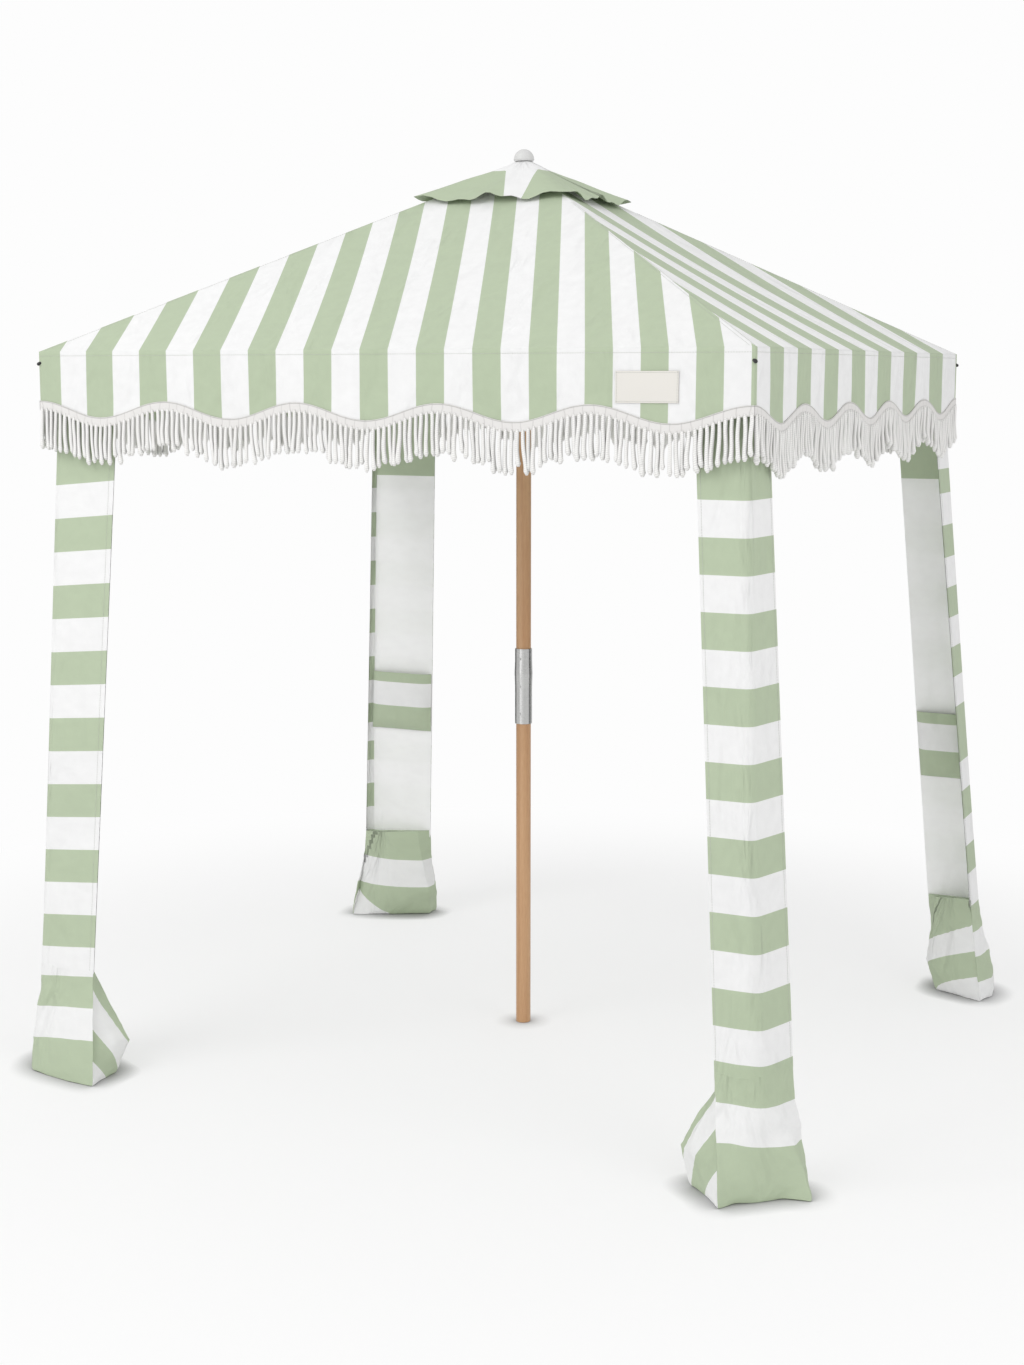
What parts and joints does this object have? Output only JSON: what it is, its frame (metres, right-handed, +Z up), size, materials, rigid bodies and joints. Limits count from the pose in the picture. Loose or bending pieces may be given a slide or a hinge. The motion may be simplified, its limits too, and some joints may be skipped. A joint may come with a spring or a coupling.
{
  "type": "beach tent",
  "caption": "Square beach tent with a striped fringed canopy, vent cap, folding ribs, two-part wooden pole and cloth legs that end in sand pockets.",
  "frame": {"origin": "centre of the pole's foot on the ground", "axes": "+Z up along the pole, +X along the wide front, +Y from the front to the back"},
  "size_m": [2.0594, 1.7834, 2.2453],
  "materials": {
    "green_cloth": "woven canvas, sage green and white stripes",
    "white_cloth": "woven canvas, white",
    "fringe_cord": "twisted cotton cord",
    "wood": "clear satin lacquer",
    "steel": "brushed",
    "white_plastic": "smooth",
    "black_plastic": "smooth",
    "fibreglass": "smooth"
  },
  "bodies": {
    "lower_pole": {"lower_pole": "wood", "pole_sleeve": "steel", "sleeve_screw_lower": "steel", "sleeve_screw_middle": "steel", "sleeve_screw_upper": "steel"},
    "upper_pole": {"upper_pole": "wood", "crown_hub": "white_plastic", "crown_ring": "steel", "finial": "white_plastic", "vent_cap": "green_cloth"},
    "runner": {"runner": "white_plastic"},
    "runner_screw": {"runner_screw": "black_plastic"},
    "rib_front_left": {"rib_front_left": "fibreglass", "rib_bracket_front_left": "steel", "rib_tip_front_left": "black_plastic", "roof_front_left": "green_cloth"},
    "rib_front_right": {"rib_front_right": "fibreglass", "rib_bracket_front_right": "steel", "rib_tip_front_right": "black_plastic", "roof_front_right": "green_cloth"},
    "rib_back_right": {"rib_back_right": "fibreglass", "rib_bracket_back_right": "steel", "rib_tip_back_right": "black_plastic", "roof_back_right": "green_cloth"},
    "rib_back_left": {"rib_back_left": "fibreglass", "rib_bracket_back_left": "steel", "rib_tip_back_left": "black_plastic", "roof_back_left": "green_cloth"},
    "strut_front_left": {"strut_front_left": "fibreglass"},
    "strut_front_right": {"strut_front_right": "fibreglass"},
    "strut_back_right": {"strut_back_right": "fibreglass"},
    "strut_back_left": {"strut_back_left": "fibreglass"},
    "leg_front_left": {"leg_upper_front_left": "green_cloth", "valance_front_left": "green_cloth", "fringe_front_left": "fringe_cord"},
    "leg_front_right": {"leg_upper_front_right": "green_cloth", "valance_front_right": "green_cloth", "fringe_front_right": "fringe_cord", "front_patch": "white_cloth"},
    "leg_back_right": {"leg_upper_back_right": "green_cloth", "valance_back_right": "green_cloth", "fringe_back_right": "fringe_cord"},
    "leg_back_left": {"leg_upper_back_left": "green_cloth", "valance_back_left": "green_cloth", "fringe_back_left": "fringe_cord"},
    "lower_leg_front_left": {"leg_lower_front_left": "green_cloth", "storage_pocket_front_left": "white_cloth", "sand_pocket_front_left": "green_cloth"},
    "lower_leg_front_right": {"leg_lower_front_right": "green_cloth", "storage_pocket_front_right": "white_cloth", "sand_pocket_front_right": "green_cloth"},
    "lower_leg_back_right": {"leg_lower_back_right": "green_cloth", "storage_pocket_back_right": "white_cloth", "sand_pocket_back_right": "green_cloth"},
    "lower_leg_back_left": {"leg_lower_back_left": "green_cloth", "storage_pocket_back_left": "white_cloth", "sand_pocket_back_left": "green_cloth"}
  },
  "joints": [
    {"name": "pole_joint", "type": "slide", "parent": "lower_pole", "child": "upper_pole", "axis": [0, 0, 1], "range_m": [0, 0.08]},
    {"name": "runner_slide", "type": "slide", "parent": "upper_pole", "child": "runner", "axis": [0, 0, -1], "range_m": [0, 0.54984]},
    {"name": "runner_screw_turn", "type": "hinge", "parent": "runner", "child": "runner_screw", "pos_m": [0, 0.0269, 1.73833], "axis": [0, 1, 0], "range_deg": [0, 360]},
    {"name": "rib_hinge_front_left", "type": "hinge", "parent": "upper_pole", "child": "rib_front_left", "pos_m": [-0.02569, -0.02227, 2.178], "axis": [0.6549, -0.7557, 0], "range_deg": [0, 56.83], "deforming": ["roof_front_left"]},
    {"name": "rib_hinge_front_right", "type": "hinge", "parent": "upper_pole", "child": "rib_front_right", "pos_m": [0.02569, -0.02227, 2.178], "axis": [0.6549, 0.7557, 0], "range_deg": [0, 56.83], "deforming": ["roof_front_right"]},
    {"name": "rib_hinge_back_right", "type": "hinge", "parent": "upper_pole", "child": "rib_back_right", "pos_m": [0.02569, 0.02227, 2.178], "axis": [-0.6549, 0.7557, 0], "range_deg": [0, 56.83], "deforming": ["roof_back_right"]},
    {"name": "rib_hinge_back_left", "type": "hinge", "parent": "upper_pole", "child": "rib_back_left", "pos_m": [-0.02569, 0.02227, 2.178], "axis": [-0.6549, -0.7557, 0], "range_deg": [0, 56.83], "deforming": ["roof_back_left"]},
    {"name": "strut_hinge_front_left", "type": "hinge", "parent": "rib_front_left", "child": "strut_front_left", "pos_m": [-0.35116, -0.30434, 1.98916], "axis": [0.6549, -0.7557, 0], "range_deg": [-113.6, 0]},
    {"name": "strut_hinge_front_right", "type": "hinge", "parent": "rib_front_right", "child": "strut_front_right", "pos_m": [0.35116, -0.30434, 1.98916], "axis": [0.6549, 0.7557, 0], "range_deg": [-113.6, 0]},
    {"name": "strut_hinge_back_right", "type": "hinge", "parent": "rib_back_right", "child": "strut_back_right", "pos_m": [0.35116, 0.30434, 1.98916], "axis": [-0.6549, 0.7557, 0], "range_deg": [-113.6, 0]},
    {"name": "strut_hinge_back_left", "type": "hinge", "parent": "rib_back_left", "child": "strut_back_left", "pos_m": [-0.35116, 0.30434, 1.98916], "axis": [-0.6549, -0.7557, 0], "range_deg": [-113.6, 0]},
    {"name": "leg_hinge_front_left", "type": "hinge", "parent": "rib_front_left", "child": "leg_front_left", "pos_m": [-0.9, -0.78, 1.717], "axis": [0.6549, -0.7557, 0], "range_deg": [-56.83, 0], "deforming": ["valance_front_left", "fringe_front_left"]},
    {"name": "leg_hinge_front_right", "type": "hinge", "parent": "rib_front_right", "child": "leg_front_right", "pos_m": [0.9, -0.78, 1.717], "axis": [0.6549, 0.7557, 0], "range_deg": [-56.83, 0], "deforming": ["valance_front_right", "fringe_front_right", "front_patch"]},
    {"name": "leg_hinge_back_right", "type": "hinge", "parent": "rib_back_right", "child": "leg_back_right", "pos_m": [0.9, 0.78, 1.717], "axis": [-0.6549, 0.7557, 0], "range_deg": [-56.83, 0], "deforming": ["valance_back_right", "fringe_back_right"]},
    {"name": "leg_hinge_back_left", "type": "hinge", "parent": "rib_back_left", "child": "leg_back_left", "pos_m": [-0.9, 0.78, 1.717], "axis": [-0.6549, -0.7557, 0], "range_deg": [-56.83, 0], "deforming": ["valance_back_left", "fringe_back_left"]},
    {"name": "leg_fold_front_left", "type": "hinge", "parent": "leg_front_left", "child": "lower_leg_front_left", "pos_m": [-0.90409, -0.79312, 0.87], "axis": [0.6549, -0.7557, 0], "range_deg": [-168.05, 0]},
    {"name": "leg_fold_front_right", "type": "hinge", "parent": "leg_front_right", "child": "lower_leg_front_right", "pos_m": [0.91312, -0.79312, 0.87], "axis": [0.6549, 0.7557, 0], "range_deg": [-168.05, 0]},
    {"name": "leg_fold_back_right", "type": "hinge", "parent": "leg_back_right", "child": "lower_leg_back_right", "pos_m": [0.94622, 0.79312, 0.87], "axis": [-0.6549, 0.7557, 0], "range_deg": [-168.05, 0]},
    {"name": "leg_fold_back_left", "type": "hinge", "parent": "leg_back_left", "child": "lower_leg_back_left", "pos_m": [-0.91713, 0.79312, 0.87], "axis": [-0.6549, -0.7557, 0], "range_deg": [-168.05, 0]}
  ],
  "couplings": [
    {"joint": "rib_hinge_front_left", "follows": "runner_slide", "rad_per_m": 1.8022},
    {"joint": "rib_hinge_front_right", "follows": "runner_slide", "rad_per_m": 1.8022},
    {"joint": "rib_hinge_back_right", "follows": "runner_slide", "rad_per_m": 1.8022},
    {"joint": "rib_hinge_back_left", "follows": "runner_slide", "rad_per_m": 1.8022},
    {"joint": "strut_hinge_front_left", "follows": "runner_slide", "rad_per_m": -3.6044},
    {"joint": "strut_hinge_front_right", "follows": "runner_slide", "rad_per_m": -3.6044},
    {"joint": "strut_hinge_back_right", "follows": "runner_slide", "rad_per_m": -3.6044},
    {"joint": "strut_hinge_back_left", "follows": "runner_slide", "rad_per_m": -3.6044},
    {"joint": "leg_hinge_front_left", "follows": "runner_slide", "rad_per_m": -1.8022},
    {"joint": "leg_hinge_front_right", "follows": "runner_slide", "rad_per_m": -1.8022},
    {"joint": "leg_hinge_back_right", "follows": "runner_slide", "rad_per_m": -1.8022},
    {"joint": "leg_hinge_back_left", "follows": "runner_slide", "rad_per_m": -1.8022},
    {"joint": "leg_fold_front_left", "follows": "runner_slide", "rad_per_m": -5.3328},
    {"joint": "leg_fold_front_right", "follows": "runner_slide", "rad_per_m": -5.3328},
    {"joint": "leg_fold_back_right", "follows": "runner_slide", "rad_per_m": -5.3328},
    {"joint": "leg_fold_back_left", "follows": "runner_slide", "rad_per_m": -5.3328}
  ]
}
